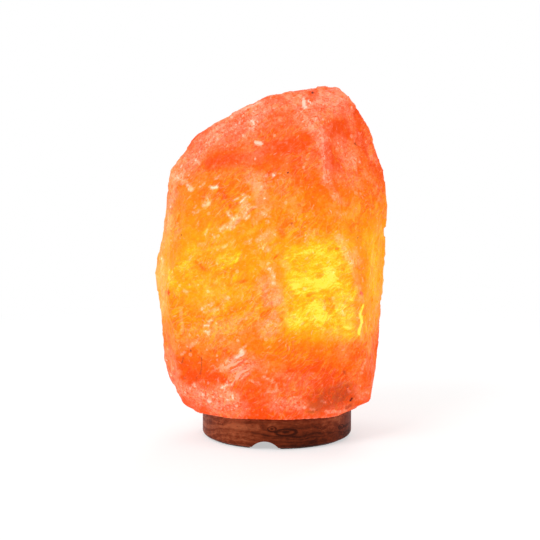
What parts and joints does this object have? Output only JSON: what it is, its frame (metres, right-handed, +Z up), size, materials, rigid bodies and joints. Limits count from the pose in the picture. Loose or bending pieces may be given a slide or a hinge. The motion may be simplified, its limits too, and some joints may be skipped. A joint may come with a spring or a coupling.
{
  "type": "salt crystal lamp",
  "caption": "Table lamp made of a hewn block of rock salt on a turned wooden base, lit from inside by a small screw-in bulb on a sprung holder that pulls out from below.",
  "frame": {"origin": "where the axis of the wooden base meets the surface that the lamp stands on", "axes": "+Z up along the base's axis, the front with the lead's notch faces -Y, +X to the right seen from the front"},
  "size_m": [0.1635, 0.1234, 0.246],
  "materials": {
    "rock_salt": "rough hewn, lit from inside",
    "base_wood": "turned, satin lacquer",
    "felt": "pressed felt",
    "screw_steel": "yellow zinc plate",
    "anchor_nylon": "moulded",
    "plate_steel": "bright zinc plate",
    "spring_steel": "drawn wire",
    "turned_brass": "bright, lightly tarnished",
    "gland_rubber": "matte",
    "holder_plastic": "moulded, semi-gloss",
    "holder_ceramic": "glazed",
    "cap_metal": "rolled",
    "cap_vitrite": "black glass",
    "solder": "soft solder",
    "bulb_glass": "clear",
    "stem_glass": "clear, pressed",
    "lead_metal": "nickel wire",
    "filament_metal": "glowing"
  },
  "bodies": {
    "light_unit": {"cover_plate": "plate_steel", "clip_bracket": "plate_steel", "clip_pins": "plate_steel", "threaded_nipple": "turned_brass", "lock_washer": "plate_steel", "lock_nut": "turned_brass", "cord_gland": "gland_rubber", "socket_base": "holder_plastic", "socket_sleeve": "holder_plastic", "contact_block": "holder_ceramic", "terminal_screws": "turned_brass", "thread_shell": "turned_brass", "centre_contact": "turned_brass"},
    "lamp_body": {"salt_crystal": "rock_salt", "wooden_base": "base_wood", "felt_ring": "felt", "base_screws": "screw_steel", "screw_anchors": "anchor_nylon"},
    "wing_left": {"wing_clip_left": "spring_steel"},
    "wing_right": {"wing_clip_right": "spring_steel"},
    "bulb_seat": {"bulb_tip_contact": "solder"},
    "bulb": {"bulb_cap": "cap_metal", "bulb_cap_insulator": "cap_vitrite", "bulb_glass": "bulb_glass", "bulb_stem": "stem_glass", "bulb_lead_wires": "lead_metal", "bulb_filament": "filament_metal"}
  },
  "joints": [
    {"name": "lamp_body_lift", "type": "slide", "parent": "light_unit", "child": "lamp_body", "axis": [0, 0, 1], "range_m": [0, 0.12]},
    {"name": "wing_left_fold", "type": "hinge", "parent": "light_unit", "child": "wing_left", "pos_m": [-0.017, 0, 0.0192], "axis": [0, 1, 0], "range_deg": [0, 12], "stiffness_Nm_per_rad": 0.05, "springref_deg": -45.84},
    {"name": "wing_right_fold", "type": "hinge", "parent": "light_unit", "child": "wing_right", "pos_m": [0.017, 0, 0.0192], "axis": [0, -1, 0], "range_deg": [0, 12], "stiffness_Nm_per_rad": 0.05, "springref_deg": -45.84},
    {"name": "bulb_rise", "type": "slide", "parent": "light_unit", "child": "bulb_seat", "axis": [0, 0, 1], "range_m": [0, 0.01129]},
    {"name": "bulb_turn", "type": "hinge", "parent": "bulb_seat", "child": "bulb", "pos_m": [0, 0, 0.05], "axis": [0, 0, 1], "range_deg": [0, 1440]}
  ],
  "couplings": [
    {"joint": "bulb_turn", "follows": "bulb_rise", "rad_per_m": 2226.5}
  ]
}
